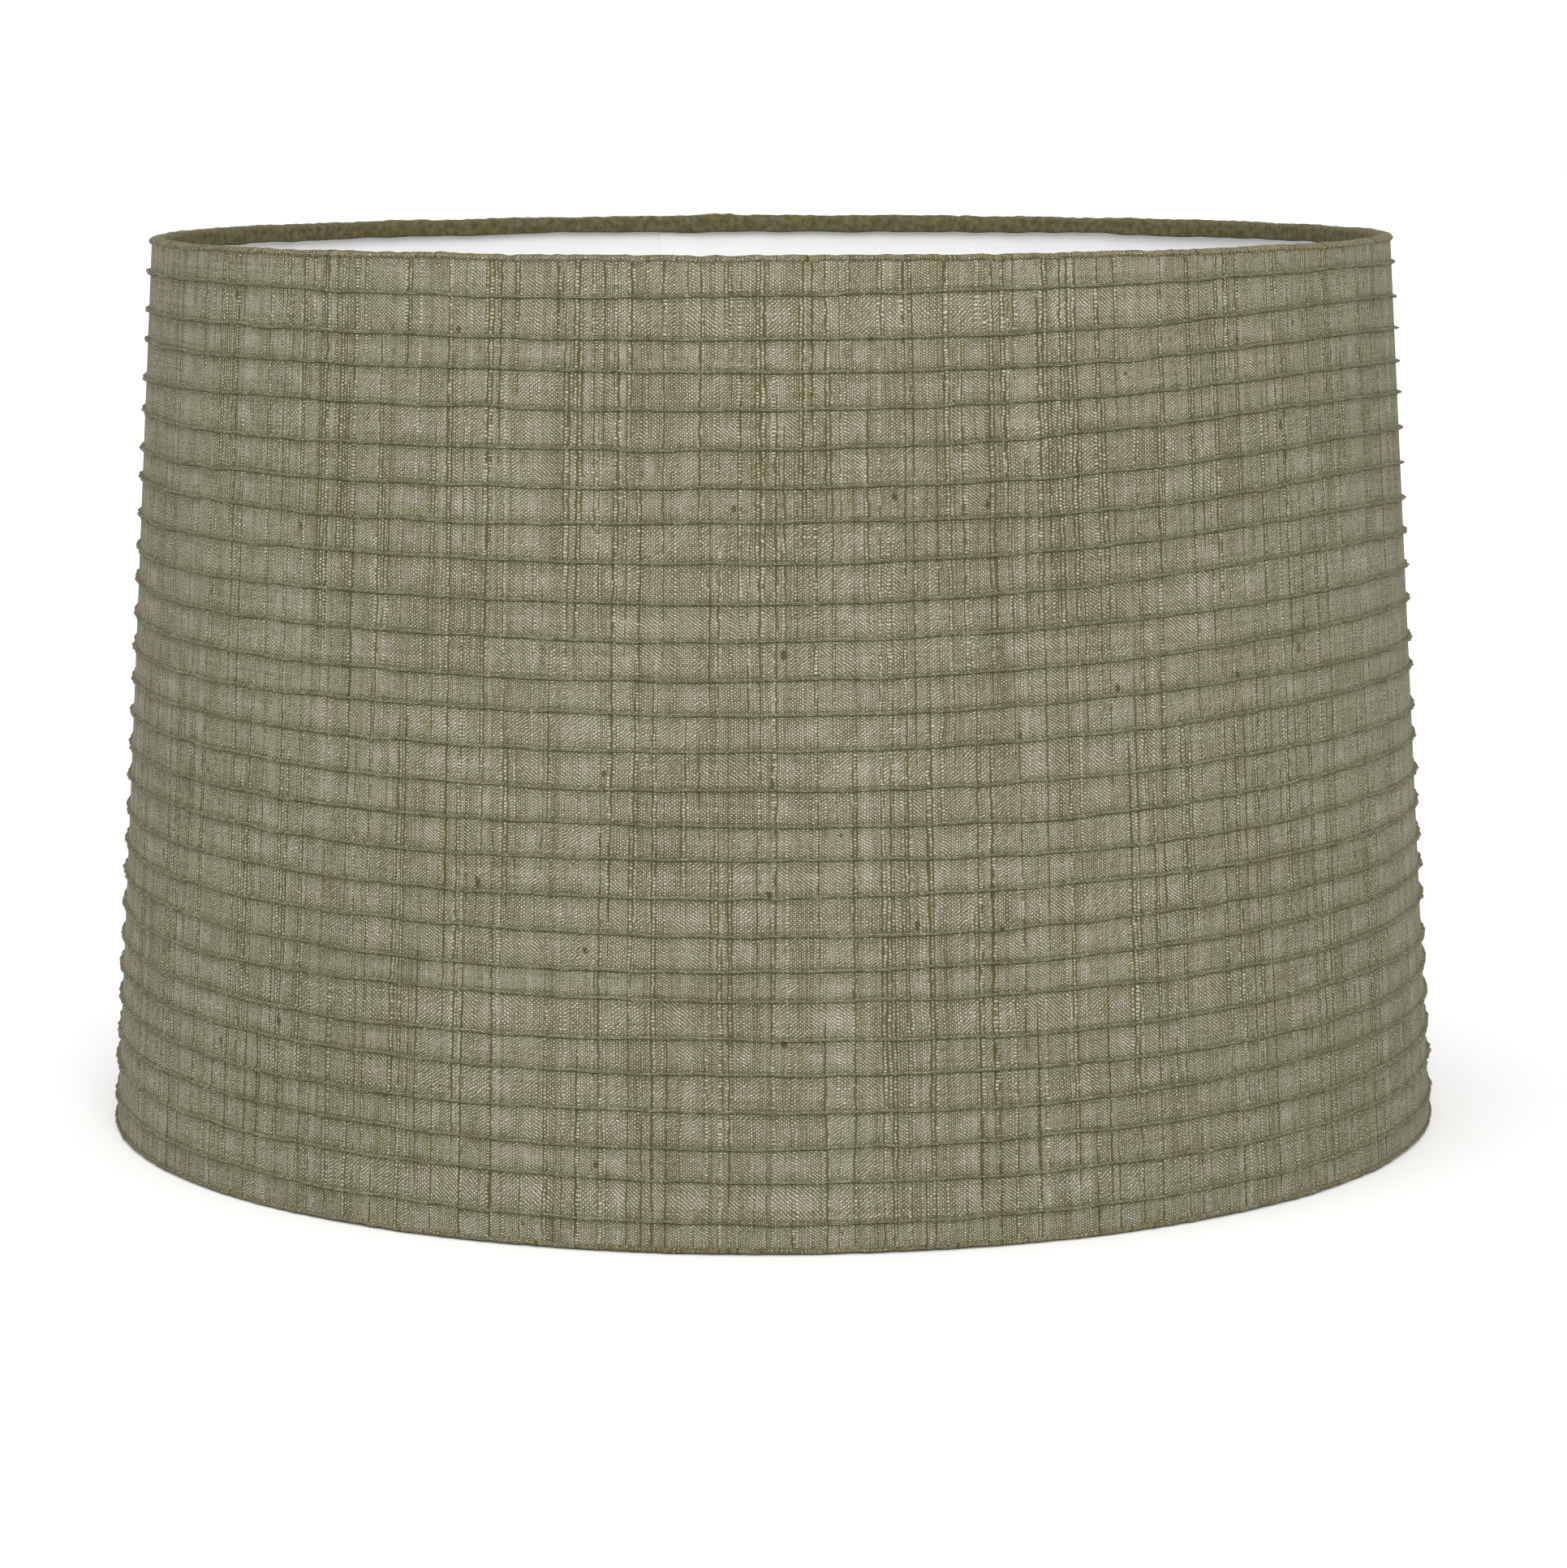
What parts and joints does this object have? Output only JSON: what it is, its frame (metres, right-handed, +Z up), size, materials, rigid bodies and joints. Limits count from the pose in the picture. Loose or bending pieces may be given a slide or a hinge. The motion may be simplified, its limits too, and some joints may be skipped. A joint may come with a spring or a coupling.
{
  "type": "lamp shade",
  "caption": "Tapered drum lamp shade in horizontally pin-tucked slub silk over a white rigid liner, with a fitter ring that turns over on two pivots.",
  "frame": {"origin": "centre of the bottom rim, on the surface that the rim stands on", "axes": "+Z up along the shade's axis towards the narrow rim, front is -Y, the seam is at the back at +Y, the gimbal turns about X"},
  "size_m": [0.3813, 0.3814, 0.252],
  "materials": {
    "slub_silk": "slub silk, horizontal pin tucks",
    "trim_silk": "the same silk, folded",
    "laminate": "satin white",
    "tape": "matte",
    "coated_wire": "white powder coat",
    "plated_steel": "zinc plated",
    "white_plastic": "satin moulded"
  },
  "bodies": {
    "shade": {"cover": "slub_silk", "liner": "laminate", "seam_tape": "tape", "top_ring": "coated_wire", "bottom_ring": "coated_wire", "top_trim": "trim_silk", "bottom_trim": "trim_silk", "pivot_tab_left": "coated_wire", "pivot_tab_right": "coated_wire", "pivot_rivet_left": "plated_steel", "pivot_rivet_right": "plated_steel", "spacer_washer_left": "plated_steel", "spacer_washer_right": "plated_steel"},
    "gimbal": {"gimbal_arm_left": "coated_wire", "gimbal_arm_right": "coated_wire", "fitter_ring": "coated_wire"},
    "reducer": {"reducer_ring": "white_plastic"}
  },
  "joints": [
    {"name": "gimbal_turn", "type": "hinge", "parent": "shade", "child": "gimbal", "pos_m": [0, 0, 0.238], "axis": [1, 0, 0], "continuous": true},
    {"name": "reducer_lift", "type": "slide", "parent": "gimbal", "child": "reducer", "axis": [0, 0, 1], "range_m": [0, 0.03]}
  ]
}
